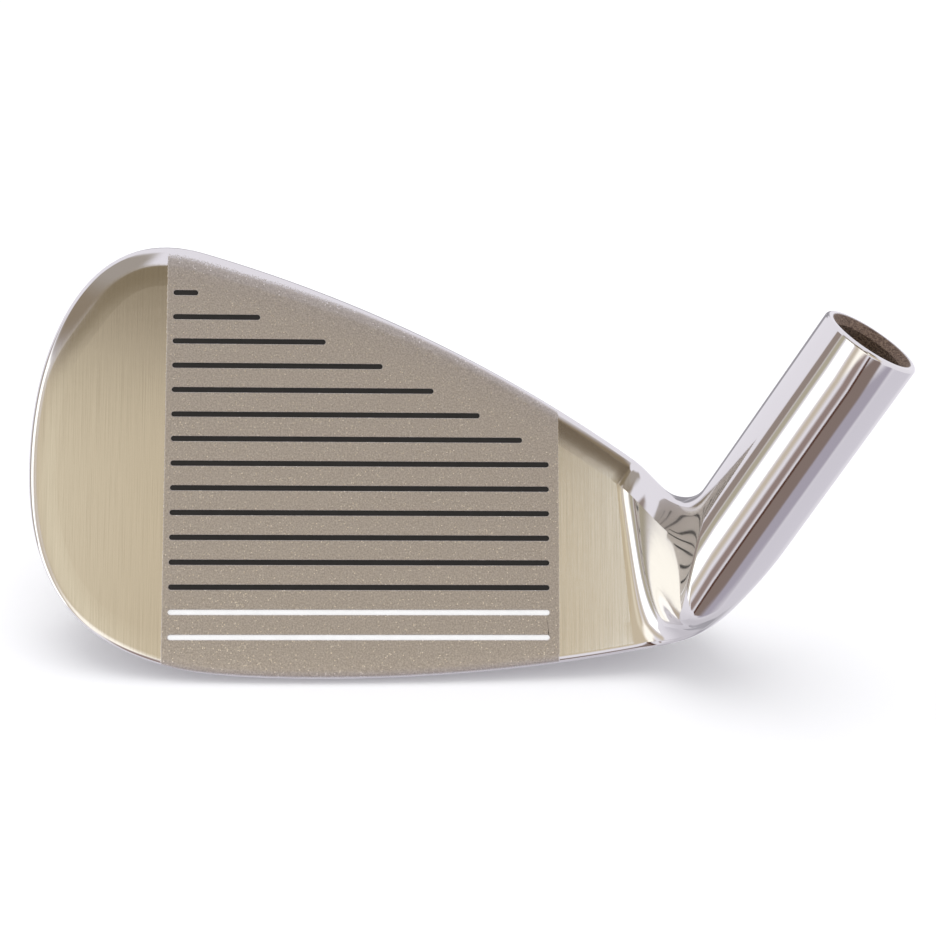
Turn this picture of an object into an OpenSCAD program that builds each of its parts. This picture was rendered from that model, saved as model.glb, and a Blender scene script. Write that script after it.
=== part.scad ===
// Bare iron golf club head for a right-handed player: blade, neck and hosel in one casting, paint in
// the score lines of the face, and a damping badge stuck in the cavity behind it. Millimetres.
//
// The head stands as it does at address, with its sole on the ground: +X points to the heel, -Y to
// the target and +Z up. The origin is on the hosel's axis, where the straight bore starts. The face
// has a frame of its own, with u along the score lines to the heel, v up the face and w out of it.
// That frame starts at the middle of the score lines.

/* [Angles] */
// Loft of the face from upright, in degrees
loft = 34; // [20:1:48]
// Lie of the hosel from the ground, in degrees
lie = 62; // [60:0.5:64]

/* [Blade] */
// Height of the top of the top line's arc above the middle of the score lines, up the face
top_rise = 37.5; // [35:0.5:44]
// Radius of the top line's arc
top_r = 199; // [160:1:260]
// Distance from the middle of the score lines to the centre of the top line's arc, towards the toe
top_shift = 77; // [65:0.5:82]
// Distance from the middle of the score lines to the tip of the toe
toe_reach = 45.3; // [42:0.5:56]
// Distance from the middle of the score lines to the leading edge, down the face
lead_drop = 29.9; // [28.5:0.1:36]
// Radius of the sole from heel to toe
sole_r = 265; // [180:1:400]
// Distance from the middle of the score lines to the sole's lowest point, towards the toe
sole_shift = 5; // [0:0.5:8]
// Width of the sole from the leading edge back
sole_w = 22; // [15:0.5:26]
// Radius of the sole from front to back
camber_r = 45; // [35:1:80]
// Distance from the leading edge back to the sole's lowest line
sole_low = 8; // [5:0.5:12]
// Height of the muscle's back wall above the trailing edge
muscle_h = 9; // [5:0.5:10]
// Thickness of the blade at the top line
top_t = 6; // [4.6:0.1:8]
// Distance from the middle of the score lines to the heel end of the flat face
face_heel = 37.9; // [34:0.1:42]

/* [Cavity] */
// Thickness of the face in front of the cavity
face_t = 3.2; // [2.2:0.1:3.6]
// Width of the rim round the cavity
rim_w = 5.5; // [4:0.5:8]
// Distance from the middle of the score lines to the cavity's floor, down the face
cavity_drop = 10.5; // [10:0.5:17]
// Distance from the middle of the score lines to the cavity's heel end
cavity_heel = 29; // [24:0.5:32]

/* [Badge] */
// Length of the badge
badge_l = 38; // [24:1:42]
// Height of the badge
badge_h = 12; // [8:0.5:16]
// Thickness of the badge
badge_t = 1.4; // [0.8:0.1:2]
// Thickness of the adhesive behind the badge
adhesive_t = 0.3; // [0.15:0.05:0.6]
// How far the adhesive stops inside the badge's edge
adhesive_in = 0.5; // [0.2:0.1:1.5]
// Gap between the badge's lower edge and the cavity's floor
badge_gap = 0.8; // [0.5:0.1:3]
// Radius of the badge's corners
badge_r = 3; // [1:0.5:3.5]

/* [Score lines] */
// Length of a full score line
score_l = 52; // [46:1:56]
// Width of a score line
score_w = 0.7; // [0.5:0.05:0.9]
// Depth of a score line
score_depth = 0.5; // [0.3:0.05:0.5]
// Distance from one score line to the next
score_pitch = 3.4; // [3:0.05:3.6]
// Distance that the short score lines stop inside the top line
score_margin = 6.5; // [5.5:0.1:7.5]
// Length of the shortest score line
score_short = 3.4; // [1.5:0.1:6]
// How far the paint stays below the face
paint_low = 0.1; // [0.05:0.05:0.2]

/* [Hosel] */
// Outer diameter of the hosel
hosel_d = 13.5; // [12.8:0.1:14.5]
// Diameter of the shaft tip that the hosel takes
shaft_d = 9.4; // [8.5:0.1:9.5]
// Gap for glue all round the shaft
glue_gap = 0.05; // [0.05:0.01:0.15]
// Depth of the straight bore
bore_depth = 31; // [24:1:34]
// Depth of the countersink over the bore
sink_depth = 1; // [0.5:0.1:1.5]
// Width of the countersink
sink_w = 1; // [0.5:0.1:1.2]
// Rounding of the hosel's rim
rim_r = 0.5; // [0.3:0.1:0.8]
// Distance along the hosel's axis from the ground to its mouth
hosel_l = 56.7; // [50:0.1:66]
// Distance from the middle of the score lines to where the hosel's axis meets the ground
hosel_x = 38.5; // [37:0.1:42]
// How far the hosel's front stands ahead of the leading edge
offset_y = 2.6; // [0:0.1:6]
// Distance along the hosel's axis from the ground to the crotch beside the top line
crotch_l = 27.5; // [24:0.5:29]

/* [Hidden] */
$fn = 64;
wheel_fn = 360;
curve_steps = 24;           // steps along each stretch of a curve
neck_steps = 14;            // steps along the neck
cut = 1;                    // how far a cutting shape stands clear of what it cuts
reach = 60;                 // longer than the blade is deep or high
score_lines = 15;           // all the score lines, from the top of the face down
white_lines = 2;            // how many of them, at the bottom, are painted white
toe_top_u = -22;            // where the top line's arc gives way to the round of the toe
toe_round = [17.5, 16];     // handles of the toe's upper curve
toe_sweep = [23, 34];       // handles of the toe's lower curve
toe_sink = 1;               // how far the toe's lower curve ends below the leading edge, under the sole
neck_ease = [0.42, 0.38];   // share of its length that a line of the neck runs on from the blade and hosel
crotch_tight = 0.5;         // how much shorter those are in the crotch
neck_step = 0.05;           // how far the neck's ends stay inside the blade's and the hosel's edges
// how many points each stretch of the blade's heel end has, and where each starts round the hosel, in
// degrees from the crotch past the front
neck_parts = [10, 8, 2, 4, 4, 2];
neck_turns = [20, 130, 215, 235, 280, 340, 380];

hosel_r = hosel_d / 2;
bore_r = shaft_d / 2 + glue_gap;
lead_z = -lead_drop * cos(loft);
sole_z = lead_z - sole_low * sole_low / (2 * camber_r);
lead_y = lead_z * tan(loft);
low_y = lead_y + sole_low;
trail_y = lead_y + sole_w;
bore_l = hosel_l - sink_depth;
// where the straight bore starts, from the middle of the score lines
bore_start = [hosel_x + bore_l * cos(lie), lead_y - offset_y + hosel_r, sole_z + bore_l * sin(lie)];
badge_bottom = -cavity_drop + badge_gap;

function two_digits(i) = str(i < 9 ? "0" : "", i + 1);
function paint_name(i) = str("score_paint_", two_digits(i));

PAINTS = [for (i = [0:score_lines - 1]) paint_name(i)];

// points of a cubic curve from a to d, with handles at b and c
function cubic(a, b, c, d, steps) = [
    for (i = [0:steps])
        let (t = i / steps)
        a * pow(1 - t, 3) + b * 3 * t * pow(1 - t, 2) + c * 3 * t * t * (1 - t) + d * pow(t, 3)
];
// points from a up to but not b
function stretch(a, b, steps) = [for (i = [0:steps - 1]) a + (b - a) * i / steps];

function total(points, i) = i == 0 ? points[0] : points[i] + total(points, i - 1);
function middle(points) = total(points, len(points) - 1) / len(points);
// the same points, each a step nearer to their middle
function inside_of(points, step) =
    let (m = middle(points))
    [for (p = points) p + (m - p) * step / norm(m - p)];

// height of the top line at u, and the distance along it at height v, both kept inside the edge
function top_v(u, inside) = top_rise - top_r + sqrt(pow(top_r - inside, 2) - pow(u + top_shift, 2));
function top_u(v, inside) = -top_shift + sqrt(pow(top_r - inside, 2) - pow(v - top_rise + top_r, 2));
// height of the sole at x and y, from the middle of the score lines
function sole_at(x, y) =
    let (tread = sole_r - pow(y - low_y, 2) / (2 * camber_r))
    sole_z + sole_r - sqrt(tread * tread - pow(x + sole_shift, 2));

// direction along the top line towards the toe, where the round of the toe starts
function toe_start_dir(inside) =
    let (up = top_v(toe_top_u, inside) - top_rise + top_r, along = toe_top_u + top_shift)
    [-up, along] / norm([up, along]);

// outline of the blade from u_heel along the top line to the tip of the toe, kept inside the edge
function top_and_toe(inside, u_heel) =
    let (
        small = 1 - inside / toe_reach,
        top_end = [toe_top_u, top_v(toe_top_u, inside)],
        tip = [-toe_reach + inside, 0]
    )
    concat(
        [for (u = stretch(u_heel, toe_top_u, curve_steps)) [u, top_v(u, inside)]],
        cubic(top_end, top_end + toe_start_dir(inside) * toe_round[0] * small,
            tip + [0, toe_round[1] * small], tip, curve_steps)
    );
// and on from the tip of the toe to below the middle of the leading edge
function toe_to_sole() =
    let (tip = [-toe_reach, 0], low = [0, -lead_drop - toe_sink])
    cubic(tip, tip - [0, toe_sweep[0]], low - [toe_sweep[1], 0], low, curve_steps);

module at_face() {
    translate(-bore_start) rotate([90 - loft, 0, 0]) children();
}

module along_hosel(l) {
    rotate([0, 90 - lie, 0]) translate([0, 0, l - bore_l]) children();
}

// a point of the blade's section, as Y and Z from the middle of the score lines
function in_section(v, w) = [v * sin(loft) - w * cos(loft), v * cos(loft) + w * sin(loft)];
muscle_top = [trail_y, sole_at(0, trail_y) + muscle_h];
muscle_root = in_section(-cavity_drop + rim_w, -top_t);

module blade_section() {
    polygon([in_section(reach, 0), in_section(-reach, 0), [trail_y, -reach],
        muscle_top, muscle_root, in_section(reach, -top_t)]);
}

// a wheel on an axis along Y, whose tread is the sole
module sole_wheel() {
    half_w = 2 * sole_w;
    tread = [for (y = stretch(-half_w, half_w, 2 * curve_steps)) [sole_r - y * y / (2 * camber_r), y]];
    translate([-sole_shift, low_y, sole_z + sole_r]) rotate([-90, 0, 0]) rotate_extrude($fn = wheel_fn)
        polygon(concat([[0, half_w], [0, -half_w]], tread));
}

// the top line and upper toe are square to the face, and the lower toe runs level to the back
module blade() {
    upper = concat(top_and_toe(0, face_heel), [[-toe_reach, -reach], [face_heel, -reach]]);
    heel_corner = [[face_heel, -lead_drop - toe_sink], [face_heel, reach]];
    lower = concat([[-toe_reach, reach]], toe_to_sole(), heel_corner);
    intersection() {
        at_face() linear_extrude(2 * reach, center = true) polygon(upper);
        translate(-bore_start) intersection() {
            translate([0, reach, 0]) rotate([90, 0, 0]) linear_extrude(2 * reach)
                polygon([for (p = lower) [p[0], p[1] * cos(loft)]]);
            rotate([90, 0, 90]) linear_extrude(2 * reach, center = true) blade_section();
            sole_wheel();
        }
    }
}

// height at which the face meets the sole at the blade's heel end
function lead_heel(z, tries) = tries == 0 ? z : lead_heel(sole_at(face_heel, z * tan(loft)), tries - 1);

// the section at the blade's heel end, from the top line down the face, and round the sole and back
function heel_loop() =
    let (
        front_z = lead_heel(lead_z, 8),
        front_low = [front_z * tan(loft), front_z],
        front_top = in_section(top_v(face_heel, 0), 0),
        back_top = in_section(top_v(face_heel, 0), -top_t)
    )
    concat(
        stretch(front_top, front_low, neck_parts[0]),
        [for (y = stretch(front_low[0], trail_y, neck_parts[1])) [y, sole_at(face_heel, y)]],
        stretch([trail_y, sole_at(face_heel, trail_y)], muscle_top, neck_parts[2]),
        stretch(muscle_top, muscle_root, neck_parts[3]),
        stretch(muscle_root, back_top, neck_parts[4]),
        stretch(back_top, front_top, neck_parts[5])
    );
function hosel_turns() = [for (k = [0:5]) each stretch(neck_turns[k], neck_turns[k + 1], neck_parts[k])];
function hosel_point(turn) =
    let (out = -hosel_r * cos(turn))
    [hosel_x + crotch_l * cos(lie) + out * sin(lie),
        lead_y - offset_y + hosel_r - hosel_r * sin(turn),
        sole_z + crotch_l * sin(lie) - out * cos(lie)];

// every line of the neck carries on along the blade, sloping as the top line does at the top and as
// the sole does at the bottom, and meets the hosel along its axis
function blade_dir(height) =
    let (
        top_slope = -(face_heel + top_shift) / (top_v(face_heel, 0) - top_rise + top_r),
        slope = (face_heel + sole_shift) / sole_r * (1 - height) + top_slope * height,
        d = [1, slope * sin(loft), slope * cos(loft)]
    )
    d / norm(d);
function neck_line(p, q, height) =
    let (gap = norm(q - p) * (1 - crotch_tight * height), up = [cos(lie), 0, sin(lie)])
    cubic(p, p + blade_dir(height) * neck_ease[0] * gap, q - up * neck_ease[1] * gap, q, neck_steps);

module neck() {
    section = inside_of(heel_loop(), neck_step);
    ring = inside_of([for (turn = hosel_turns()) hosel_point(turn)], neck_step);
    n = len(section);
    low = section[neck_parts[0]][1];
    lines = [for (j = [0:n - 1])
        let (height = max(0, (section[j][1] - low) / (section[0][1] - low)))
        neck_line([face_heel, section[j][0], section[j][1]], ring[j], height)];
    points = [for (i = [0:neck_steps], j = [0:n - 1]) lines[j][i]];
    ends = [middle([for (line = lines) line[0]]), middle([for (line = lines) line[neck_steps]])];
    heel_end = [for (j = [0:n - 1]) [len(points), j, (j + 1) % n]];
    hosel_end = [for (j = [0:n - 1]) [len(points) + 1, neck_steps * n + (j + 1) % n, neck_steps * n + j]];
    sides = [for (i = [0:neck_steps - 1], j = [0:n - 1])
        let (a = i * n + j, b = i * n + (j + 1) % n)
        each [[a, a + n, b], [b, a + n, b + n]]];
    translate(-bore_start) polyhedron(concat(points, ends), concat(heel_end, hosel_end, sides));
}

module hosel() {
    along_hosel(crotch_l) cylinder(hosel_l - rim_r - crotch_l, r = hosel_r);
    along_hosel(hosel_l - rim_r) cylinder(rim_r, r1 = hosel_r, r2 = hosel_r - rim_r);
}

module bore() {
    along_hosel(bore_l - bore_depth) cylinder(bore_depth + cut, r = bore_r);
    sink_r = bore_r + sink_w * (1 + cut / sink_depth);
    along_hosel(bore_l) cylinder(sink_depth + cut, r1 = bore_r, r2 = sink_r);
}

module cavity() {
    at_face() translate([0, 0, -face_t - reach]) linear_extrude(reach) intersection() {
        polygon(concat(top_and_toe(rim_w, cavity_heel),
                       [[-toe_reach + rim_w, -reach], [cavity_heel, -reach]]));
        translate([-reach, -cavity_drop]) square(2 * reach);
    }
}

function score_v(i) = ((score_lines - 1) / 2 - i) * score_pitch;
function score_end(i) = max(score_short - score_l / 2, min(score_l / 2, top_u(score_v(i), score_margin)));

// a score line's own shape, from its bottom up to height w on the face
module score_shape(i, w) {
    start = -score_l / 2 + score_w / 2;
    end = score_end(i) - score_w / 2;
    at_face() translate([0, score_v(i), -score_depth]) linear_extrude(score_depth + w) {
        translate([start, -score_w / 2]) square([end - start, score_w]);
        translate([start, 0]) circle(score_w / 2);
        translate([end, 0]) circle(score_w / 2);
    }
}

module head_body() {
    color("silver") difference() {
        union() {
            blade();
            neck();
            hosel();
        }
        bore();
        cavity();
        for (i = [0:score_lines - 1]) score_shape(i, cut);
    }
}

module score_paint(i) {
    color(i < score_lines - white_lines ? "#1c1a1a" : "white") score_shape(i, -paint_low);
}

module badge_plate(inside, thick) {
    l = badge_l - 2 * inside;
    h = badge_h - 2 * inside;
    r = badge_r - inside / 2;
    linear_extrude(thick) {
        translate([-l / 2 + r, -h / 2]) square([l - 2 * r, h]);
        translate([-l / 2, -h / 2 + r]) square([l, h - 2 * r]);
        for (x = [-1, 1], y = [-1, 1]) translate([x * (l / 2 - r), y * (h / 2 - r)]) circle(r);
    }
}

module on_cavity_floor(behind) {
    at_face() translate([0, badge_bottom + badge_h / 2, -face_t - behind]) children();
}

module badge_adhesive() {
    color("dimgray") on_cavity_floor(adhesive_t) badge_plate(adhesive_in, adhesive_t);
}

module cavity_badge() {
    color("#3a3d42") on_cavity_floor(adhesive_t + badge_t) badge_plate(0, badge_t);
}

head_body();
cavity_badge();
badge_adhesive();
for (i = [0:score_lines - 1]) score_paint(i);
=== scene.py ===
import math
import bmesh
import bpy
from mathutils import Matrix, Vector


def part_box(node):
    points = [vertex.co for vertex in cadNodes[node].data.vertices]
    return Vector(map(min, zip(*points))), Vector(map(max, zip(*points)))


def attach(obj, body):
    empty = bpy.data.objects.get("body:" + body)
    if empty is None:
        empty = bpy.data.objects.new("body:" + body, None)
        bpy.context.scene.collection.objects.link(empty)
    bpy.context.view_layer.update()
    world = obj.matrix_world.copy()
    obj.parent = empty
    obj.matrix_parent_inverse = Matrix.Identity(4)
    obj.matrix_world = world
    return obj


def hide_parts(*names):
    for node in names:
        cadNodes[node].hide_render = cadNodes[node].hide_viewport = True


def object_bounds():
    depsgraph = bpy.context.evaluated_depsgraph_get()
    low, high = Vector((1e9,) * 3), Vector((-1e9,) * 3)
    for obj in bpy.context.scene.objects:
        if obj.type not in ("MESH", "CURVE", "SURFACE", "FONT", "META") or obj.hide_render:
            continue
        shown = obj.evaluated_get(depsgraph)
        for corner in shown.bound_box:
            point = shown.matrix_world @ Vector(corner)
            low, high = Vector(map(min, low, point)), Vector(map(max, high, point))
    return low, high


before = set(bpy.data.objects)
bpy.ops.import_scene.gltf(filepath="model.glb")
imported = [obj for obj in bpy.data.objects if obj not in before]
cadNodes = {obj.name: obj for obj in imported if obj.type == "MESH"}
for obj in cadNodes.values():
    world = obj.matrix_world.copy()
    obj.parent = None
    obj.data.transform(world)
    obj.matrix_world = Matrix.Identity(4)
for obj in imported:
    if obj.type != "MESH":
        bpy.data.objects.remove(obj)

mm = 0.001
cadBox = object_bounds()
whiteLines = ("score_paint_14", "score_paint_15")

# the head's shape, in mm and degrees
head = {
    "loft": 34, "lie": 62,
    "topRise": 37.5, "topRadius": 199, "topShift": 77,
    "toeTop": -22, "toeReach": 45.3, "toeRound": (17.5, 16), "toeSweep": (23, 34), "toeSink": 1,
    "leadDrop": 29.9, "faceHeel": 37.9, "topThick": 6,
    "soleRadius": 265, "soleShift": 5, "soleWidth": 22, "camber": 45, "soleLow": 8,
    "muscleHeight": 9, "rimWidth": 5.5, "cavityDrop": 10.5, "cavityHeel": 29, "faceThick": 3.2,
    "hoselRadius": 6.75, "hoselLength": 56.6, "hoselX": 38.5, "offset": 2.6, "crotch": 27.5,
    "boreRadius": 4.75, "boreDepth": 31, "sinkDepth": 1, "sinkWidth": 1,
    "neckEase": (0.42, 0.45), "crotchTight": 0.5, "ridgeTurn": 84, "ridgeDrop": 13,
    # where the corners of the blade's heel end land on the hosel, in degrees from its toe side
    "neckTurns": (20, 118, 208, 232, 280, 340, 380),
}
# how the edges are finished, in mm
edges = {
    "crownWidth": 3.0, "crownDrop": 0.12,     # the flat face rolls off this little at its rim
    "facetTan": 0.25,                         # slope of the flat bevel inside the rim
    "toeFacet": 1.7, "topFacet": 0.25, "lowFacet": 0.1,
    "topRound": 1.1, "toeRound": 0.75, "lowRound": 0.9, "leadRound": 1.35,
    "cornerPull": 0.22,                       # how far an edge's corner is drawn in
    "backRound": 0.8, "creaseRound": 0.8, "soleBlend": 0.8,
    "toeLevel": 0.12,                         # share of the lower edge where the wall turns level
    "hoselRim": 0.5, "hoselPolish": 0.03, "mouthFlat": 0.1, "merge": 0.004,
}
# how finely the skin is divided
counts = {"sections": 96, "neck": 48, "front": 12, "arc": 7, "wall": 12, "backArc": 5, "hosel": 8, "rim": 5,
          "outline": 200, "turnEasing": 14}

sinLoft, cosLoft = math.sin(math.radians(head["loft"])), math.cos(math.radians(head["loft"]))
sinLie, cosLie = math.sin(math.radians(head["lie"])), math.cos(math.radians(head["lie"]))
faceNormal = Vector((0, -cosLoft, sinLoft))
faceUp = Vector((0, sinLoft, cosLoft))
leadZ = -head["leadDrop"] * cosLoft
soleZ = leadZ - head["soleLow"] ** 2 / (2 * head["camber"])
leadY = leadZ * math.tan(math.radians(head["loft"]))
lowY = leadY + head["soleLow"]
trailY = leadY + head["soleWidth"]

# the middle of the score lines on the face: the middle line's paint is centred this far under it
paintLow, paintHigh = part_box("score_paint_08")
paintDepth = 0.3 * mm
faceCentre = (paintLow + paintHigh) / 2 + faceNormal * paintDepth


def deselectAll():
    if bpy.context.object and bpy.context.object.mode != "OBJECT":
        bpy.ops.object.mode_set(mode="OBJECT")
    bpy.ops.object.select_all(action="DESELECT")


# shapes are worked out in mm from that middle, and placed turns them into the frame's metres
def placed(p):
    return faceCentre + Vector(p) * mm


def onFace(u, v, w=0):
    return Vector((u, 0, 0)) + faceUp * v + faceNormal * w


# points at equal distances along a line of points
def evenly(points, count):
    lengths = [0]
    for a, b in zip(points, points[1:]):
        lengths.append(lengths[-1] + (b.xy - a.xy).length)
    out, k = [], 0
    for i in range(count + 1):
        want = lengths[-1] * i / count
        while k < len(points) - 2 and lengths[k + 1] < want:
            k += 1
        share = (want - lengths[k]) / (lengths[k + 1] - lengths[k])
        out.append(points[k].lerp(points[k + 1], min(1, share)))
    return out


def cubic(a, b, c, d, t):
    s = 1 - t
    return a * s ** 3 + b * 3 * t * s * s + c * 3 * t * t * s + d * t ** 3


def smoothStep(x):
    x = min(1, max(0, x))
    return x * x * (3 - 2 * x)


# the top line, the sole and the leading edge at a place along the blade
def topV(u, inside=0):
    radius = head["topRadius"] - inside
    return head["topRise"] - head["topRadius"] + math.sqrt(radius ** 2 - (u + head["topShift"]) ** 2)


def soleAt(x, y):
    tread = head["soleRadius"] - (y - lowY) ** 2 / (2 * head["camber"])
    return soleZ + head["soleRadius"] - math.sqrt(tread ** 2 - (x + head["soleShift"]) ** 2)


def leadV(x):
    z = leadZ
    for _ in range(8):
        z = soleAt(x, z * sinLoft / cosLoft)
    return z / cosLoft


# the higher of two heights, blended where they meet
def smoothMax(a, b, width):
    h = max(0, width - abs(a - b)) / width
    return max(a, b) + h * h * width / 4


muscleTop = soleAt(0, trailY) + head["muscleHeight"]
rootV = -head["cavityDrop"] + head["rimWidth"]
rootY, rootZ = onFace(0, rootV, -head["topThick"]).yz


# the back: a thin blade over a muscle that thickens to the sole
def backProfile(z):
    if z > rootZ:
        return (head["topThick"] + z * sinLoft) / cosLoft
    return trailY + (rootY - trailY) * max(0, z - muscleTop) / (rootZ - muscleTop)


def backY(z):
    r = edges["creaseRound"]
    return sum(backProfile(z + r * s) for s in (-1, -0.5, 0, 0.5, 1)) / 5


def toeTopCurve(inside, t):
    small = 1 - inside / head["toeReach"]
    start = Vector((head["toeTop"], topV(head["toeTop"], inside)))
    way = Vector((-(start.y - head["topRise"] + head["topRadius"]), start.x + head["topShift"]))
    way.normalize()
    tip = Vector((-head["toeReach"] + inside, 0))
    first, last = (pull * small for pull in head["toeRound"])
    return cubic(start, start + way * first, tip + Vector((0, last)), tip, t)


def topOutline(inside, heel, steps=counts["outline"]):
    line = [heel + (head["toeTop"] - heel) * i / steps for i in range(steps)]
    corner = [toeTopCurve(inside, i / steps) for i in range(steps + 1)]
    return [Vector((u, topV(u, inside))) for u in line] + corner


def lowOutline(steps=counts["outline"]):
    tip, low = Vector((-head["toeReach"], 0)), Vector((0, -head["leadDrop"] - head["toeSink"]))
    up, along = head["toeSweep"]
    pulls = low - Vector((along, 0)), tip - Vector((0, up))
    bend = [cubic(low, *pulls, tip, i / steps) for i in range(steps + 1)]
    flat = [Vector((head["faceHeel"] * (1 - i / steps), low.y)) for i in range(steps)]
    return [Vector((p.x, smoothMax(p.y, leadV(p.x), edges["soleBlend"]), p.y)) for p in flat + bend]


def outward(points, k, side):
    a, b = points[max(0, k - 1)].xy, points[min(len(points) - 1, k + 1)].xy
    if k == len(points) - 1:
        return Vector((-1, 0))
    along = (b - a).normalized()
    return Vector((along.y, -along.x)) * side


def blend(values, x):
    for (x0, v0), (x1, v1) in zip(values, values[1:]):
        if x <= x1:
            return v0 + (v1 - v0) * smoothStep((x - x0) / (x1 - x0))
    return values[-1][1]


# one line of points round an edge: in from the face, over its bevel and round, and along the wall to the back
class Row:
    def __init__(self, corner, normal, isTop, share, prismV):
        self.corner, self.isTop, self.prismZ = corner, isTop, prismV * cosLoft
        self.start = onFace(corner.x, corner.y)
        self.out = onFace(normal.x, normal.y)
        self.level = 0 if isTop else smoothStep((1 - share) / edges["toeLevel"])
        toe, low = edges["toeFacet"], edges["lowFacet"]
        if isTop:
            self.facet = blend([(0.2, edges["topFacet"]), (0.62, toe), (0.78, toe), (0.9, low)], share)
            self.round = blend([(0.6, edges["topRound"]), (0.95, edges["toeRound"])], share)
        else:
            self.facet = low
            rounds = [(0.5, edges["leadRound"]), (0.8, edges["lowRound"]), (1, edges["toeRound"])]
            self.round = blend(rounds, share)

    def wall(self, e):
        square = self.start - faceNormal * e
        if self.isTop:
            return square
        y = self.start.y + e
        z = smoothMax(self.prismZ, soleAt(self.corner.x, y), edges["soleBlend"])
        z += self.start.z - smoothMax(self.prismZ, soleAt(self.corner.x, self.start.y), edges["soleBlend"])
        return square.lerp(Vector((self.corner.x, y, z)), self.level)

    def depth(self):
        low, high = 0, 40
        for _ in range(30):
            e = (low + high) / 2
            p = self.wall(e)
            low, high = (e, high) if p.y < backY(p.z) else (low, e)
        return low

    def arc(self, a, corner, b, steps):
        pull = corner.lerp((a + b) / 2, edges["cornerPull"])
        ways = [i / steps for i in range(steps + 1)]
        return [a * (1 - t) ** 2 + pull * 2 * t * (1 - t) + b * t * t for t in ways]

    def points(self):
        inset, drop = self.facet + self.round, edges["crownDrop"]
        out = []
        for d in (1, 0.75, 0.5, 0.3, 0.13, 0):
            flat = self.start - self.out * (inset + d * edges["crownWidth"])
            out.append(flat - faceNormal * drop * (1 - d) ** 2)
        sunk = drop + self.facet * edges["facetTan"]
        corner = self.start - faceNormal * sunk
        bevelEnd = corner - self.out * self.round
        out += self.arc(bevelEnd, corner, self.wall(self.round + sunk), counts["arc"])
        full, r = self.depth(), edges["backRound"]
        first, last = self.round + sunk, full - r
        out += [self.wall(first + (last - first) * i / counts["wall"]) for i in range(1, counts["wall"])]
        end = self.wall(full)
        x, z = end.x - self.out.x * r, end.z - self.out.z * r
        out += self.arc(self.wall(last), end, Vector((x, backY(z), z)), counts["backArc"])
        return out


# a closed loop round the blade: face, lower edge, back and upper edge
def section(top, low):
    upper, lower = top.points(), low.points()
    a, b = upper[0], lower[0]
    front = [a.lerp(b, i / (counts["front"] + 1)) for i in range(1, counts["front"] + 1)]
    high, down = upper[-1], lower[-1]
    r = edges["creaseRound"] + 0.1
    bends = [1, 0.5, 0, -0.5, -1]
    levels = [high.z + (rootZ + r - high.z) * i / 7 for i in range(1, 7)]
    levels += [rootZ + r * s for s in bends]
    levels += [rootZ - r + (muscleTop - rootZ + 2 * r) * i / 4 for i in range(1, 4)]
    levels += [muscleTop + r * s for s in bends]
    levels += [muscleTop - r + (down.z - muscleTop + r) * i / 4 for i in range(1, 4)]
    back = []
    for i, level in enumerate(levels):
        z = min(max(level, down.z), high.z)
        span = high.z - down.z
        share = (z - down.z) / span if span > 0.01 else 1 - i / len(levels)
        back.append(Vector((down.x + (high.x - down.x) * share, backY(z), z)))
    return front + lower + back[::-1] + upper[::-1]


def hoselPoint(turn, along, radius):
    out = -radius * math.cos(turn)
    return Vector((head["hoselX"] + along * cosLie + out * sinLie,
                   leadY - head["offset"] + head["hoselRadius"] - radius * math.sin(turn),
                   soleZ + along * sinLie - out * cosLie))


def straightEnd(turn):
    # the hosel stays straight further down at its front, where it runs on into the leading edge
    facing = max(0, math.cos(turn - math.radians(head["ridgeTurn"])))
    return head["crotch"] - head["ridgeDrop"] * facing ** 3


def hoselTurns(loop):
    # each point of the blade's heel end gets a place round the hosel, eased so that none crowd
    heel, steps = head["faceHeel"], 100
    frontTop, frontLow = onFace(0, topV(heel)).yz, onFace(0, leadV(heel)).yz
    trail = Vector((trailY, soleAt(heel, trailY)))
    backTop = onFace(0, topV(heel), -head["topThick"]).yz
    muscle, root = Vector((trailY, muscleTop)), Vector((rootY, rootZ))
    stops = [frontTop, frontLow, trail, muscle, root, backTop, frontTop]
    turns = head["neckTurns"]
    path = []
    for k in range(6):
        for i in range(steps):
            p = stops[k].lerp(stops[k + 1], i / steps)
            if k == 1:
                p = Vector((p.x, soleAt(heel, p.x)))
            path.append((p, turns[k] + (turns[k + 1] - turns[k]) * i / steps))
    found = [min(path, key=lambda q: (q[0] - p.yz).length)[1] for p in loop]
    found = [t - 360 if k < 6 and t > 200 else t for k, t in enumerate(found)]
    found = [t + 360 if k > len(found) - 10 and t < 100 else t for k, t in enumerate(found)]
    for _ in range(counts["turnEasing"]):
        before = [found[-1] - 360] + found[:-1]
        after = found[1:] + [found[0] + 360]
        found = [(a + 2 * b + c) / 4 for a, b, c in zip(before, found, after)]
    return [math.radians(t) for t in found]


# the way the blade's skin runs at its heel end
def bladeWay(height):
    heel = head["faceHeel"]
    topSlope = -(heel + head["topShift"]) / (topV(heel) - head["topRise"] + head["topRadius"])
    slope = (heel + head["soleShift"]) / head["soleRadius"] * (1 - height) + topSlope * height
    return Vector((1, slope * sinLoft, slope * cosLoft)).normalized()


def neckLine(p, q, height, t):
    gap = (q - p).length * (1 - head["crotchTight"] * height)
    rise = Vector((cosLie, 0, sinLie))
    atBlade, atHosel = (ease * gap for ease in head["neckEase"])
    return cubic(p, p + bladeWay(height) * atBlade, q - rise * atHosel, q, t)


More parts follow.
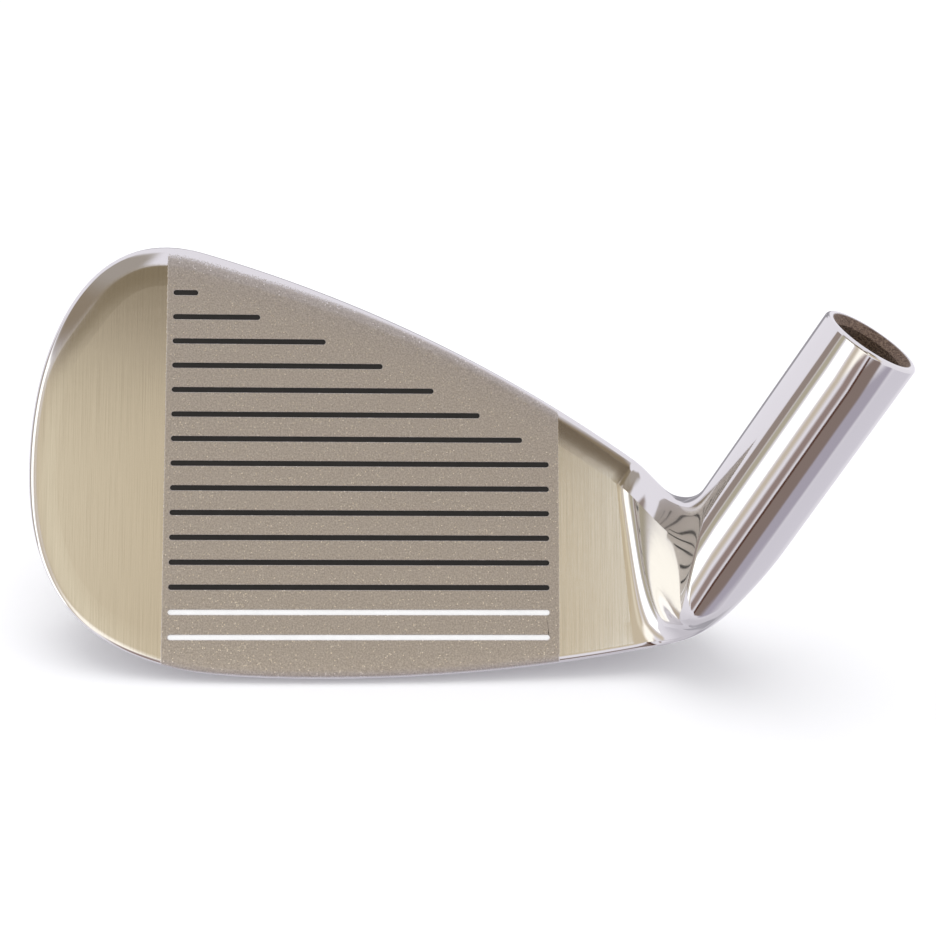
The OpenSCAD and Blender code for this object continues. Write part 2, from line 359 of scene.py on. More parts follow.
def headRings():
    n = counts["sections"]
    tops, lows = evenly(topOutline(0, head["faceHeel"]), n), evenly(lowOutline(), n)
    blade = []
    for k in range(n + 1):
        top = Row(tops[k], outward(tops, k, 1), True, k / n, 0)
        low = Row(lows[k], outward(lows, k, -1), False, k / n, lows[k].z)
        blade.append(section(top, low))
    loop = blade[0]
    turns = hoselTurns(loop)
    r, mouth = head["hoselRadius"] - edges["hoselPolish"], head["hoselLength"]
    rim, bore = edges["hoselRim"], head["boreRadius"]
    rings = []

    def hoop(along, radius):
        rings.append([hoselPoint(t, along, radius) for t in turns])

    # up the bore, out over its countersink and round the mouth's rim
    start, spread = mouth - head["sinkDepth"], head["sinkWidth"]
    for share in (1, 0.75, 0.5, 0.25, 0.06, 0):
        hoop(start - head["boreDepth"] * share, bore)
    for share, below in ((0.5, 0), (0.9, 0), (1, 0.06)):
        hoop(start + head["sinkDepth"] * share - below, bore + spread * share)
    hoop(mouth, bore + spread + edges["mouthFlat"])
    for i in range(counts["rim"] + 1):
        angle = math.pi / 2 * i / counts["rim"]
        hoop(mouth - rim + rim * math.cos(angle), r - rim + rim * math.sin(angle))
    # down the hosel's outside, and through the neck to the blade
    for i in range(1, counts["hosel"]):
        share, top = i / counts["hosel"], mouth - rim
        rings.append([hoselPoint(t, top + (straightEnd(t) - top) * share, r) for t in turns])
    low, high = leadV(head["faceHeel"]) * cosLoft, topV(head["faceHeel"]) * cosLoft
    for i in range(counts["neck"]):
        t = 1 - i / counts["neck"]
        ring = []
        for p, turn in zip(loop, turns):
            height = min(1, max(0, (p.z - low) / (high - low)))
            ring.append(neckLine(p, hoselPoint(turn, straightEnd(turn), r), height, t))
        rings.append(ring)
    return rings + blade


# a circle is extruded ring by ring, from the bottom of the bore to the end of the toe
def growSkin(name, rings):
    deselectAll()
    bpy.ops.mesh.primitive_circle_add(vertices=len(rings[0]), radius=mm, fill_type="NOTHING")
    piece = bpy.context.object
    piece.name = name
    bpy.ops.object.mode_set(mode="EDIT")
    for k, ring in enumerate(rings):
        if k:
            bpy.ops.mesh.extrude_edges_move()
        mesh = bmesh.from_edit_mesh(piece.data)
        for v, p in zip([v for v in mesh.verts if v.select], ring):
            v.co = placed(p)
    bpy.ops.mesh.select_all(action="SELECT")
    bpy.ops.mesh.remove_doubles(threshold=edges["merge"] * mm)
    # the bore's blind end
    bpy.ops.mesh.select_mode(type="EDGE")
    bpy.ops.mesh.select_all(action="DESELECT")
    bpy.ops.mesh.select_non_manifold()
    bpy.ops.mesh.edge_face_add()
    bpy.ops.mesh.select_all(action="SELECT")
    bpy.ops.mesh.normals_make_consistent(inside=False)
    bpy.ops.object.mode_set(mode="OBJECT")
    return piece


def cutWith(piece, cutter):
    deselectAll()
    bpy.context.view_layer.objects.active = piece
    piece.select_set(True)
    cut = piece.modifiers.new("cut", "BOOLEAN")
    cut.operation = "DIFFERENCE"
    cut.solver = "EXACT"
    cut.object = cutter
    bpy.ops.object.modifier_apply(modifier="cut")
    bpy.data.objects.remove(cutter)


def startMesh(piece):
    deselectAll()
    bpy.context.view_layer.objects.active = piece
    piece.select_set(True)
    bpy.ops.object.mode_set(mode="EDIT")
    bpy.ops.mesh.select_mode(type="EDGE")
    bpy.ops.mesh.select_all(action="DESELECT")
    return bmesh.from_edit_mesh(piece.data)


def pickEdges(piece, wanted):
    mesh = startMesh(piece)
    for edge in mesh.edges:
        edge.select_set(wanted(edge))
    bmesh.update_edit_mesh(piece.data)


def faceSpot(p):
    d = (Vector(p) - faceCentre) / mm
    return d.x, d.dot(faceUp), d.dot(faceNormal)


def prism(name, outline, low, high):
    deselectAll()
    bpy.ops.mesh.primitive_circle_add(vertices=len(outline), radius=mm, fill_type="NGON")
    piece = bpy.context.object
    piece.name = name
    for v, p in zip(piece.data.vertices, outline):
        v.co = placed(onFace(p[0], p[1], low))
    bpy.ops.object.mode_set(mode="EDIT")
    bpy.ops.mesh.select_all(action="SELECT")
    bpy.ops.mesh.extrude_region_move(TRANSFORM_OT_translate={"value": faceNormal * (high - low) * mm})
    bpy.ops.mesh.select_all(action="SELECT")
    bpy.ops.mesh.normals_make_consistent(inside=False)
    bpy.ops.object.mode_set(mode="OBJECT")
    return piece


# the cavity in the back, in mm and degrees
cavity = {"cornerRound": 2.5, "floorRound": 0.8, "mouth": -30, "rimRound": 0.2, "tidy": 0.25,
          "outline": 40, "cornerAngle": 40, "rimAngle": 45, "rimBelow": 1.5, "rimInside": 3}


def cutCavity(piece):
    inside, heel, drop = head["rimWidth"], head["cavityHeel"], head["cavityDrop"]
    outline = topOutline(inside, heel, cavity["outline"])
    toe = outline[-1]
    outline += [Vector((toe.x, -drop)), Vector((heel, -drop))]
    cutter = prism("cavity_cutter", outline, cavity["mouth"], -head["faceThick"])

    def upright(edge):
        a, b = (faceSpot(v.co) for v in edge.verts)
        if abs(a[2] - b[2]) < 1 or len(edge.link_faces) != 2:
            return False
        return edge.calc_face_angle() > math.radians(cavity["cornerAngle"])
    pickEdges(cutter, upright)
    bpy.ops.mesh.bevel(offset=cavity["cornerRound"] * mm, segments=6)

    def atFloor(edge):
        return all(faceSpot(v.co)[2] > -head["faceThick"] - 0.01 for v in edge.verts)
    pickEdges(cutter, atFloor)
    bpy.ops.mesh.bevel(offset=cavity["floorRound"] * mm, segments=4)
    bpy.ops.object.mode_set(mode="OBJECT")
    cutWith(piece, cutter)

    def rim(edge):
        if len(edge.link_faces) != 2:
            return False
        spots = [faceSpot(v.co) for v in edge.verts]
        level, margin = -head["faceThick"] - cavity["rimBelow"], cavity["rimInside"]
        behind = all(s[2] < level for s in spots)
        inside = all(margin - head["toeReach"] < s[0] < head["faceHeel"] - margin for s in spots)
        sharp = edge.calc_face_angle() > math.radians(cavity["rimAngle"])
        return behind and inside and edge.is_convex and sharp
    pickEdges(piece, rim)
    bpy.ops.mesh.remove_doubles(threshold=cavity["tidy"] * mm)
    pickEdges(piece, rim)
    bpy.ops.mesh.bevel(offset=cavity["rimRound"] * mm, segments=2, clamp_overlap=True)
    bpy.ops.object.mode_set(mode="OBJECT")


# the score lines, cut where their paint lies
groove = {"width": 0.7, "depth": 0.5, "over": 0.3, "endSteps": 14, "rimRound": 0.07, "reach": 26.5}


def cutGroove(piece, node):
    low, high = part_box(node)
    middle = faceSpot((low + high) / 2)[1]
    radius, steps = groove["width"] / 2, groove["endSteps"]
    start, end = faceSpot(low)[0] + radius, faceSpot(high)[0] - radius
    turns = [math.pi / 2 + math.pi * i / steps for i in range(steps + 1)]
    outline = [(start + radius * math.cos(t), middle + radius * math.sin(t)) for t in turns]
    outline += [(end - radius * math.cos(t), middle - radius * math.sin(t)) for t in turns]
    cutWith(piece, prism("groove_cutter", outline, -groove["depth"], groove["over"]))


def flattenFace(piece):
    # one clean face where the blade is flat, before the lines are cut in it
    mesh = startMesh(piece)
    for f in mesh.faces:
        f.select_set(f.normal.dot(faceNormal) > 0.99995)
    bpy.ops.mesh.dissolve_limited(angle_limit=math.radians(0.5))
    bpy.ops.object.mode_set(mode="OBJECT")


def roundGrooves(piece):
    def rim(edge):
        spots = [faceSpot(v.co) for v in edge.verts]
        if len(edge.link_faces) != 2 or any(abs(s[2]) > 0.01 or abs(s[0]) > groove["reach"] for s in spots):
            return False
        return edge.calc_face_angle() > math.radians(60)
    pickEdges(piece, rim)
    bpy.ops.mesh.bevel(offset=groove["rimRound"] * mm, segments=2)
    bpy.ops.object.mode_set(mode="OBJECT")


def smoothed(piece, degrees):
    deselectAll()
    piece.select_set(True)
    bpy.context.view_layer.objects.active = piece
    bpy.ops.object.shade_smooth_by_angle(angle=math.radians(degrees))


print("growing the head's skin")
headSkin = growSkin("head_skin", headRings())
print("cutting the cavity")
cutCavity(headSkin)
flattenFace(headSkin)
print("cutting the score lines")
for node in sorted(n for n in cadNodes if n.startswith("score_paint")):
    cutGroove(headSkin, node)
roundGrooves(headSkin)
smoothed(headSkin, 14)
for polygon in headSkin.data.polygons:
    # the flat of the face mirrors as one plane
    if polygon.normal.dot(faceNormal) > 0.99999:
        polygon.use_smooth = False

# the badge in the cavity
badge = {"cornerRound": 3, "edgeRound": 0.3, "panelInset": 1.6, "panelDrop": 0.25, "panelRound": 0.12,
         "ribs": 5, "ribWidth": 0.55, "ribHeight": 0.3, "ribLength": 5.2, "ribPitch": 5.4,
         "ribRound": 0.16, "ribLift": 0.02}


def turnToFace(piece):
    tilt = Matrix.Rotation(math.radians(90 - head["loft"]), 4, "X")
    piece.matrix_world = Matrix.Translation(faceCentre) @ tilt
    deselectAll()
    piece.select_set(True)
    bpy.context.view_layer.objects.active = piece
    bpy.ops.object.transform_apply(location=True, rotation=True, scale=True)


def makeBadge():
    corners = [faceSpot(v.co) for v in cadNodes["cavity_badge"].data.vertices]
    low = [min(c[i] for c in corners) * mm for i in range(3)]
    high = [max(c[i] for c in corners) * mm for i in range(3)]
    size = [b - a for a, b in zip(low, high)]
    deselectAll()
    bpy.ops.mesh.primitive_cube_add(size=1, location=[(a + b) / 2 for a, b in zip(low, high)], scale=size)
    piece = bpy.context.object
    piece.name = "damping_badge"
    bpy.ops.object.transform_apply(location=True, rotation=True, scale=True)

    def upright(edge):
        return abs(edge.verts[0].co.z - edge.verts[1].co.z) > size[2] / 2
    pickEdges(piece, upright)
    bpy.ops.mesh.bevel(offset=badge["cornerRound"] * mm, segments=10)

    def outer(edge):
        return all(v.co.z < low[2] + size[2] / 4 for v in edge.verts)
    pickEdges(piece, outer)
    bpy.ops.mesh.bevel(offset=badge["edgeRound"] * mm, segments=4)
    mesh = startMesh(piece)
    bpy.ops.mesh.select_mode(type="FACE")
    max((f for f in mesh.faces if f.normal.z < -0.99), key=lambda f: f.calc_area()).select_set(True)
    bpy.ops.mesh.inset(thickness=badge["panelInset"] * mm, depth=0)
    bpy.ops.mesh.inset(thickness=badge["panelRound"] * mm, depth=-badge["panelDrop"] * mm)
    bpy.ops.object.mode_set(mode="OBJECT")
    smoothed(piece, 30)
    floorAt = low[2] + badge["panelDrop"] * mm
    ribs = []
    for i in range(badge["ribs"]):
        x = (i - (badge["ribs"] - 1) / 2) * badge["ribPitch"] * mm
        deselectAll()
        bpy.ops.mesh.primitive_cube_add(
            size=1, location=(x, (low[1] + high[1]) / 2, floorAt + badge["ribLift"] * mm),
            scale=(badge["ribWidth"] * mm, badge["ribLength"] * mm, 2 * badge["ribHeight"] * mm))
        rib = bpy.context.object
        rib.name = f"badge_rib_{i + 1}"
        bpy.ops.object.transform_apply(location=True, rotation=True, scale=True)
        bpy.ops.object.mode_set(mode="EDIT")
        bpy.ops.mesh.select_all(action="SELECT")
        bpy.ops.mesh.bevel(offset=badge["ribRound"] * mm, segments=3)
        bpy.ops.object.mode_set(mode="OBJECT")
        ribs.append(rib)
    deselectAll()
    for rib in ribs:
        rib.select_set(True)
    piece.select_set(True)
    bpy.context.view_layer.objects.active = piece
    bpy.ops.object.join()
    smoothed(piece, 30)
    turnToFace(piece)
    return piece


print("moulding the badge")
badgePlate = makeBadge()

# the steel's finishes, with lengths in mm: the face is blasted between the ends of the band and brushed
# beside it, the cavity's floor is blasted, the bore is left rough, and all else is polished
steel = {
    "bandStart": -26.8, "bandEnd": 27.3, "bandDepth": -0.42, "bandFade": 0.1, "depthFade": 0.12,
    "edgeWobble": 0.35, "floorReach": (0.02, 0.03),
    "brushEnd": (37.0, 37.6), "brushDepth": (-0.19, -0.12),
    "boreReach": (5.7, 5.95), "boreBottom": (-33.0, -32.0),
    "mirrorColour": (0.80, 0.785, 0.78), "brushColour": (0.80, 0.775, 0.73), "brushDark": (0.64, 0.61, 0.56),
    "blastColour": (0.46, 0.425, 0.40), "blastLight": (0.66, 0.62, 0.585), "sparkColour": (0.95, 0.92, 0.88),
    "boreColour": (0.33, 0.25, 0.19), "boreDark": (0.14, 0.10, 0.08),
    "mirrorRough": 0.045, "brushRough": 0.07, "blastRough": 0.42, "boreRough": 0.62,
    "markRough": 0.03, "lineRough": 0.1, "sparkGloss": 0.22,
    "grainFineness": 4.2, "sparkShare": 0.88, "markSize": 16.0, "markContrast": 0.28,
    "brushFineness": 11.0, "brushLength": 16.0,
    "lineSpread": (0.4, 0.85), "grainSpread": (0.3, 0.7), "boreSpread": (0.35, 0.65),
    "lineHeight": 0.003, "pitHeight": 0.035, "scaleHeight": 0.12, "waveHeight": 0.004,
}
# how the paint, the badge and its adhesive look
coats = {
    "dark_paint": {"low": (0.004, 0.004, 0.004), "high": (0.012, 0.011, 0.010), "colourBy": "both",
                   "roughness": 0.45, "roughSpread": 0.2, "roughBy": "grain", "fineness": 4.0,
                   "markSize": 3.0, "contrast": 0.2, "height": 0.02, "specular": 0.5},
    "white_paint": {"low": (0.93, 0.93, 0.92), "high": (0.84, 0.84, 0.83), "colourBy": "both",
                    "roughness": 0.35, "roughSpread": 0.2, "roughBy": "grain", "fineness": 4.0,
                    "markSize": 3.0, "contrast": 0.2, "height": 0.02, "specular": 0.5},
    "badge_polymer": {"low": (0.040, 0.044, 0.052), "high": (0.062, 0.068, 0.078), "colourBy": "marks",
                      "roughness": 0.38, "roughSpread": 0.12, "roughBy": "marks", "fineness": 3.5,
                      "markSize": 7.0, "contrast": 0.25, "height": 0.03, "specular": 0.45},
    "adhesive": {"low": (0.08, 0.08, 0.08), "high": (0.17, 0.17, 0.165), "colourBy": "grain",
                 "roughness": 0.7, "roughSpread": 0.2, "roughBy": "grain", "fineness": 2.2,
                 "markSize": 0, "height": 0.06, "specular": 0.3},
}


# makes a node and fills its sockets, named in camelCase or by number as i0, with links or values
def nodeMaker(tree):
    def make(kind, settings=None, **sockets):
        node = tree.nodes.new(kind)
        for key, value in (settings or {}).items():
            setattr(node, key, value)
        for key, value in sockets.items():
            name = "".join(" " + c if c.isupper() else c for c in key).strip().title()
            plug = node.inputs[int(key[1:])] if key[1:].isdigit() else node.inputs[name]
            if isinstance(value, bpy.types.NodeSocket):
                tree.links.new(value, plug)
            else:
                plug.default_value = value
        return node
    return make


def mathNode(make, operation, a, b=0.0):
    return make("ShaderNodeMath", {"operation": operation}, i0=a, i1=b).outputs[0]


def times(make, a, b):
    return mathNode(make, "MULTIPLY", a, b)


def plus(make, a, b):
    return mathNode(make, "ADD", a, b)


def minus(make, a, b):
    return mathNode(make, "SUBTRACT", a, b)


def ramped(make, value, start, end, low=0.0, high=1.0):
    return make("ShaderNodeMapRange", {"interpolation_type": "SMOOTHSTEP"},
                value=value, fromMin=start, fromMax=end, toMin=low, toMax=high).outputs["Result"]


def mixed(make, share, a, b):
    plain = not isinstance(a, (tuple, bpy.types.NodeSocketColor))
    if plain:
        return make("ShaderNodeMix", {"data_type": "FLOAT"}, i0=share, i2=a, i3=b).outputs[0]
    a, b = ((*c, 1) if isinstance(c, tuple) else c for c in (a, b))
    return make("ShaderNodeMix", {"data_type": "RGBA"}, i0=share, i6=a, i7=b).outputs[2]


def newGroup(name, inputs, outputs):
    group = bpy.data.node_groups.new(name, "ShaderNodeTree")
    for plug, kind in inputs.items():
        group.interface.new_socket(plug, in_out="INPUT", socket_type="NodeSocket" + kind)
    for plug, kind in outputs.items():
        group.interface.new_socket(plug, in_out="OUTPUT", socket_type="NodeSocket" + kind)
    make = nodeMaker(group)
    return group, make, make("NodeGroupInput").outputs, make("NodeGroupOutput").inputs


def brushGroup():
    plugs = {"Vector": "Vector", "Fineness": "Float", "Length": "Float"}
    group, make, given, out = newGroup("brush lines", plugs, {"Lines": "Float"})
    x, y, z = make("ShaderNodeSeparateXYZ", vector=given["Vector"]).outputs
    along = mathNode(make, "DIVIDE", y, given["Length"])
    spot = make("ShaderNodeCombineXYZ", x=times(make, x, given["Fineness"]), y=along, z=z).outputs[0]
    fine = make("ShaderNodeTexNoise", vector=spot, scale=1.0, detail=4.0, roughness=0.7)
    group.links.new(fine.outputs["Fac"], out["Lines"])
    return group


def grainGroup():
    plugs = {"Vector": "Vector", "Fineness": "Float", "Spark": "Float"}
    group, make, given, out = newGroup("grain", plugs, {"Grain": "Float", "Sparks": "Float"})
    where, fineness = given["Vector"], given["Fineness"]
    grain = make("ShaderNodeTexNoise", vector=where, scale=fineness, detail=3.0, roughness=0.65)
    cells = make("ShaderNodeTexVoronoi", vector=where, scale=fineness)
    lit = make("ShaderNodeSeparateColor", color=cells.outputs["Color"]).outputs[0]
    chosen = ramped(make, lit, given["Spark"], plus(make, given["Spark"], 0.03))
    near = ramped(make, cells.outputs["Distance"], 0.2, 0.5, 1.0, 0.0)
    group.links.new(grain.outputs["Fac"], out["Grain"])
    group.links.new(times(make, chosen, near), out["Sparks"])
    return group


def marksGroup():
    plugs = {"Vector": "Vector", "Size": "Float", "Contrast": "Float"}
    group, make, given, out = newGroup("handling marks", plugs, {"Marks": "Float"})
    scale = mathNode(make, "DIVIDE", 1.0, given["Size"])
    cloud = make("ShaderNodeTexNoise", vector=given["Vector"], scale=scale,
                 detail=5.0, roughness=0.6, distortion=0.4)
    low, high = minus(make, 0.5, given["Contrast"]), plus(make, 0.5, given["Contrast"])
    group.links.new(ramped(make, cloud.outputs["Fac"], low, high), out["Marks"])
    return group


brushLines, grainSpots, handlingMarks = brushGroup(), grainGroup(), marksGroup()


def placedGroup(make, group, **values):
    return make("ShaderNodeGroup", {"node_tree": group}, **values).outputs


def spotOnFace(make):
    # object coordinates turned to the face and measured in mm
    angle = math.radians(90 - head["loft"])
    start = -(Matrix.Rotation(-angle, 3, "X") @ faceCentre) / mm
    where = make("ShaderNodeTexCoord").outputs["Object"]
    return make("ShaderNodeMapping", vector=where, location=start, rotation=(-angle, 0, 0),
                scale=(1 / mm,) * 3).outputs[0]


def spotInHosel(make):
    # object coordinates turned to the hosel's axis, in mm from the start of the bore
    where = make("ShaderNodeTexCoord").outputs["Object"]
    return make("ShaderNodeMapping", vector=where, scale=(1 / mm,) * 3,
                rotation=(0, -math.radians(90 - head["lie"]), 0)).outputs[0]


def newMaterial(name, metallic=0.0, specular=0.5):
    material = bpy.data.materials.new(name)
    material.use_nodes = True
    shader = material.node_tree.nodes["Principled BSDF"]
    shader.inputs["Metallic"].default_value = metallic
    shader.inputs["Specular IOR Level"].default_value = specular
    return material, nodeMaker(material.node_tree), material.node_tree.links.new, shader.inputs


def raised(make, height):
    return make("ShaderNodeBump", strength=1.0, distance=1.0, height=height).outputs[0]


def steelMaterial():
    material, make, link, shader = newMaterial("polished_steel", metallic=1.0)
    spot = spotOnFace(make)
    u, v, w = make("ShaderNodeSeparateXYZ", vector=spot).outputs
    grain, sparks = placedGroup(make, grainSpots, vector=spot, fineness=steel["grainFineness"],
                                spark=steel["sparkShare"])
    marks = placedGroup(make, handlingMarks, vector=spot, size=steel["markSize"],
                        contrast=steel["markContrast"])[0]
    lines = placedGroup(make, brushLines, vector=spot, fineness=steel["brushFineness"],
                        length=steel["brushLength"])[0]

    # where each finish lies
    wobble = times(make, minus(make, grain, 0.5), steel["edgeWobble"])
    edge, depth = plus(make, u, wobble), plus(make, w, wobble)
    start, end, fade = steel["bandStart"], steel["bandEnd"], steel["bandFade"]
    inBand = times(make, ramped(make, edge, start - fade, start + fade),
                   ramped(make, edge, end - fade, end + fade, 1.0, 0.0))
    level, soft = steel["bandDepth"], steel["depthFade"]
    front = ramped(make, depth, level - soft, level + soft)
    fromFloor = mathNode(make, "ABSOLUTE", plus(make, w, float(head["faceThick"])))
    onFloor = ramped(make, fromFloor, *steel["floorReach"], 1.0, 0.0)
    blasted = mathNode(make, "MAXIMUM", times(make, inBand, front), onFloor)
    flat = times(make, ramped(make, w, *steel["brushDepth"]), ramped(make, u, *steel["brushEnd"], 1.0, 0.0))
    brushed = times(make, flat, minus(make, 1.0, inBand))
    x, y, along = make("ShaderNodeSeparateXYZ", vector=spotInHosel(make)).outputs
    across = make("ShaderNodeCombineXYZ", x=x, y=y).outputs[0]
    radius = make("ShaderNodeVectorMath", {"operation": "LENGTH"}, i0=across).outputs["Value"]
    inBore = times(make, ramped(make, radius, *steel["boreReach"], 1.0, 0.0),
                   ramped(make, along, *steel["boreBottom"]))

    colour = mixed(make, brushed, steel["mirrorColour"], steel["brushColour"])
    streaky = mixed(make, ramped(make, lines, *steel["lineSpread"]), colour, steel["brushDark"])
    colour = mixed(make, brushed, colour, streaky)
    speckles = ramped(make, grain, *steel["grainSpread"])
    speckled = mixed(make, speckles, steel["blastColour"], steel["blastLight"])
    # the sparks are painted glints: scattered specks of the blasted grain given a brighter colour, as well as
    # a lower roughness
    speckled = mixed(make, sparks, speckled, steel["sparkColour"])
    colour = mixed(make, blasted, colour, speckled)
    rough = mixed(make, ramped(make, grain, *steel["boreSpread"]), steel["boreDark"], steel["boreColour"])
    link(mixed(make, inBore, colour, rough), shader["Base Color"])

    mirrorRough = plus(make, times(make, marks, steel["markRough"]), steel["mirrorRough"])
    brushRough = plus(make, times(make, lines, steel["lineRough"]), steel["brushRough"])
    blastRough = minus(make, steel["blastRough"], times(make, sparks, steel["sparkGloss"]))
    gloss = mixed(make, blasted, mixed(make, brushed, mirrorRough, brushRough), blastRough)
    link(mixed(make, inBore, gloss, steel["boreRough"]), shader["Roughness"])

    heights = [times(make, times(make, lines, brushed), steel["lineHeight"] * mm),
               times(make, times(make, grain, blasted), steel["pitHeight"] * mm),
               times(make, times(make, grain, inBore), steel["scaleHeight"] * mm),
               times(make, marks, steel["waveHeight"] * mm)]
    height = plus(make, plus(make, heights[0], heights[1]), plus(make, heights[2], heights[3]))
    link(raised(make, height), shader["Normal"])
    return material


def coatMaterial(name):
    coat = coats[name]
    material, make, link, shader = newMaterial(name, specular=coat["specular"])
    spot = spotOnFace(make)
    masks = {"grain": placedGroup(make, grainSpots, vector=spot, fineness=coat["fineness"])[0]}
    if coat["markSize"]:
        masks["marks"] = placedGroup(make, handlingMarks, vector=spot, size=coat["markSize"],
                                     contrast=coat["contrast"])[0]
    if coat["colourBy"] == "both":
        masks["both"] = times(make, masks["marks"], masks["grain"])
    link(mixed(make, masks[coat["colourBy"]], coat["low"], coat["high"]), shader["Base Color"])
    spread = times(make, masks[coat["roughBy"]], coat["roughSpread"])
    link(plus(make, spread, coat["roughness"]), shader["Roughness"])
    link(raised(make, times(make, masks["grain"], coat["height"] * mm)), shader["Normal"])
    return material


def dress(piece, material):
    piece.data.materials.clear()
    piece.data.materials.append(material)


print("mixing the finishes")
dress(headSkin, steelMaterial())
blackPaint = coatMaterial("dark_paint")
whitePaint = coatMaterial("white_paint")
for name, node in cadNodes.items():
    if name.startswith("score_paint"):
        dress(node, whitePaint if name in whiteLines else blackPaint)
dress(cadNodes["badge_adhesive"], coatMaterial("adhesive"))
dress(badgePlate, coatMaterial("badge_polymer"))
newPieces = ((headSkin, "head_body", "polished_steel"), (badgePlate, "cavity_badge", "badge_polymer"))
for piece, node, slotName in newPieces:
    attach(piece, "root")
    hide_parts(node)

# what the polished steel mirrors: middle and half width across, middle and half height and softness in
# degrees, with 0 across towards the target, and a colour
room = {
    "low": (0.66, 0.64, 0.70), "high": (0.92, 0.90, 0.97), "fade": (-75.0, -15.0),
    "light": (0.95, 0.95, 0.97), "strength": 1.0,
    "patches": {
        "ceilingFront": (0, 75, 54, 7, 5, (0.28, 0.22, 0.15)),
        "wall": (4, 34, 27, 19, 4, (0.67, 0.575, 0.43)),
        "wallShade": (14, 12, 51, 9, 2.5, (0.18, 0.14, 0.10)),
        "wallShadeToe": (-15, 11, 53, 9, 2.5, (0.26, 0.21, 0.14)),
        "lampHeel": (13, 2.7, 30, 12, 1, (1.05, 1.04, 1.0)),
        "ceilingToe": (-58, 32, 63, 9, 5, (0.42, 0.38, 0.34)),
        "lampToe": (-17, 5, 34, 9, 4, (0.84, 0.76, 0.60)),
        "windowLow": (-27, 13, 13, 9, 4, (1.3, 1.25, 1.15)),
        "windowEdge": (-38, 5, 12, 30, 4, (0.66, 0.58, 0.48)),
        "window": (-57, 11, 15, 30, 2, (1.6, 1.6, 1.55)),
        "curtain": (-93, 8, 12, 25, 2, (0.34, 0.28, 0.25)),
        "curtainEdge": (-78, 6, 12, 25, 3, (0.50, 0.46, 0.36)),
        "table": (25, 20, -30, 12, 5, (0.45, 0.42, 0.50)),
        "tableFar": (85, 38, -38, 14, 8, (0.74, 0.72, 0.80)),
        "cupboard": (4, 13, -18, 15, 3, (0.26, 0.20, 0.18)),
        "copper": (-8, 2, -13, 14, 1, (0.10, 0.045, 0.03)),
        "cupboardEdge": (-20, 6, -8, 14, 3, (0.34, 0.26, 0.24)),
        "doorway": (172, 9, -5, 22, 4, (0.34, 0.33, 0.36)),
        "doorwayLeft": (-173, 7, -5, 22, 4, (0.34, 0.33, 0.36)),
        "shelf": (178, 60, -62, 8, 6, (0.42, 0.41, 0.45)),
    },
}


def patchGroup():
    names = ("Across", "Up", "Middle", "Half Width", "Height", "Half Height", "Softness")
    group, make, given, out = newGroup("soft patch", {name: "Float" for name in names}, {"Mask": "Float"})
    masks = []
    for value, middle, half in (("Across", "Middle", "Half Width"), ("Up", "Height", "Half Height")):
        away = mathNode(make, "ABSOLUTE", minus(make, given[value], given[middle]))
        inner, outer = minus(make, given[half], given["Softness"]), plus(make, given[half], given["Softness"])
        masks.append(ramped(make, away, inner, outer, 1.0, 0.0))
    group.links.new(times(make, masks[0], masks[1]), out["Mask"])
    return group


def makeRoom():
    world = bpy.data.worlds.new("studio")
    bpy.context.scene.world = world
    world.use_nodes = True
    tree = world.node_tree
    tree.nodes.clear()
    make = nodeMaker(tree)
    x, y, z = make("ShaderNodeSeparateXYZ", vector=make("ShaderNodeTexCoord").outputs["Generated"]).outputs
    across = mathNode(make, "DEGREES", mathNode(make, "ARCTAN2", x, times(make, y, -1.0)))
    up = mathNode(make, "DEGREES", mathNode(make, "ARCSINE", z))
    group = patchGroup()
    colour = mixed(make, ramped(make, up, *room["fade"]), room["low"], room["high"])
    keys = ("middle", "halfWidth", "height", "halfHeight", "softness")
    for *shape, tint in room["patches"].values():
        values = dict(zip(keys, map(float, shape)))
        patch = make("ShaderNodeGroup", {"node_tree": group}, across=across, up=up, **values)
        colour = mixed(make, patch.outputs["Mask"], colour, tint)
    mirrored = make("ShaderNodeBackground", color=colour).outputs[0]
    plain = make("ShaderNodeBackground", color=(*room["light"], 1), strength=room["strength"]).outputs[0]
    glossy = make("ShaderNodeLightPath").outputs["Is Glossy Ray"]
    pick = make("ShaderNodeMixShader", i0=glossy, i1=plain, i2=mirrored).outputs[0]
    make("ShaderNodeOutputWorld", surface=pick)


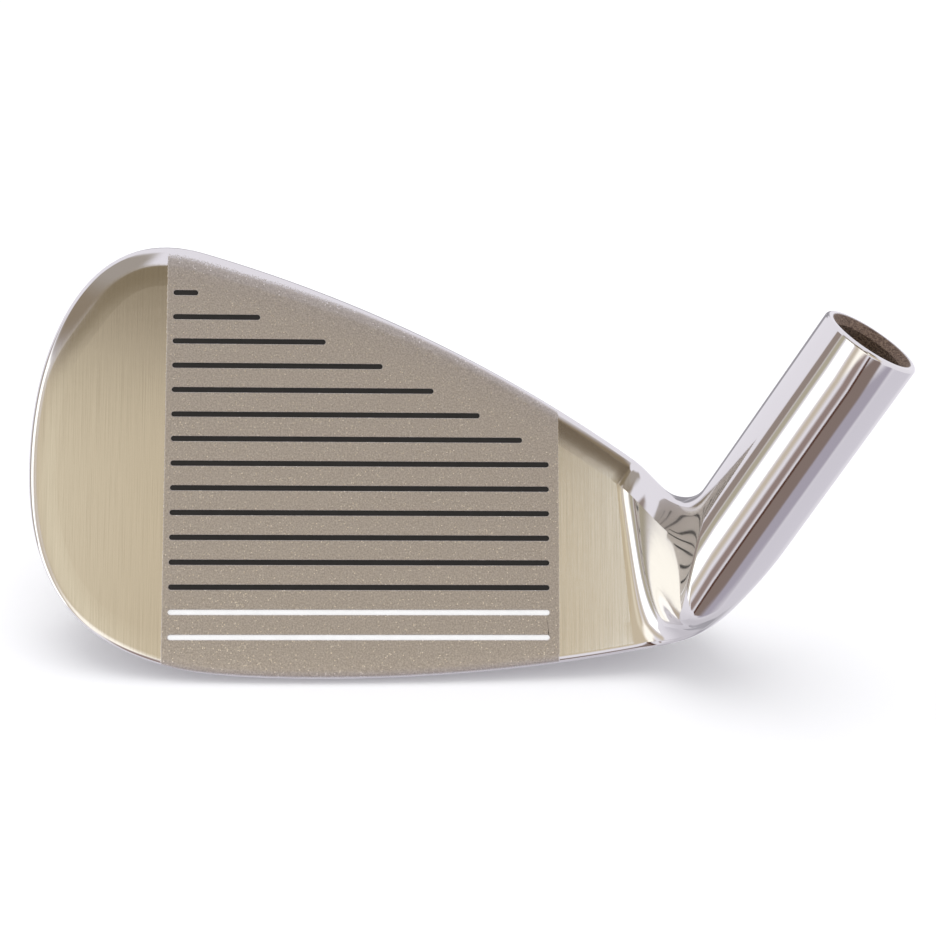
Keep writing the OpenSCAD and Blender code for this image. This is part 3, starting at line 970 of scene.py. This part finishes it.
# the floor and the lamp over it, in metres
stage = {"floorSize": 60, "floorColour": (0.93, 0.93, 0.935), "floorRough": 0.9, "floorShine": 0.2,
         "lampPlace": (-0.12, 0.10, 0.85), "lampPower": 2.6, "lampSize": 0.7}


def makeFloor():
    deselectAll()
    bpy.ops.mesh.primitive_plane_add(size=stage["floorSize"], location=(0, 0, cadBox[0][2]))
    floor = bpy.context.object
    floor.name = "floor"
    floor.visible_glossy = False
    material, make, link, shader = newMaterial("floor_paper", specular=stage["floorShine"])
    shader["Base Color"].default_value = (*stage["floorColour"], 1)
    shader["Roughness"].default_value = stage["floorRough"]
    dress(floor, material)


def makeLamp():
    deselectAll()
    bpy.ops.object.light_add(type="AREA", location=stage["lampPlace"])
    lamp = bpy.context.object
    lamp.name = "lamp"
    lamp.data.energy = stage["lampPower"]
    lamp.data.size = stage["lampSize"]
    lamp.visible_glossy = False
    lamp.rotation_euler = (faceCentre - lamp.location).to_track_quat("-Z", "Y").to_euler()


# the camera, in degrees and mm, aimed beside the middle of the score lines
view = {"across": -3.23, "up": 27.18, "roll": 1.746, "away": 250,
        "aim": (14.78, -0.88, -0.10), "lens": 69.825}


def makeCamera():
    deselectAll()
    bpy.ops.object.camera_add()
    camera = bpy.context.object
    turn = Matrix.Rotation(math.radians(view["across"]), 4, "Z")
    turn = turn @ Matrix.Rotation(math.radians(90 - view["up"]), 4, "X")
    turn = turn @ Matrix.Rotation(math.radians(view["roll"]), 4, "Z")
    aim = faceCentre + Vector(view["aim"]) * mm
    camera.matrix_world = Matrix.Translation(aim + turn.to_3x3() @ Vector((0, 0, view["away"] * mm))) @ turn
    camera.data.lens = view["lens"]
    bpy.context.scene.camera = camera


print("setting the stage")
makeRoom()
makeFloor()
makeLamp()
makeCamera()
bpy.context.scene.view_settings.view_transform = "Standard"
# a new file's own cube, lamp and camera go
for spare in ("Cube", "Light", "Camera"):
    thing = bpy.data.objects.get(spare)
    if thing and thing != bpy.context.scene.camera:
        bpy.data.objects.remove(thing)
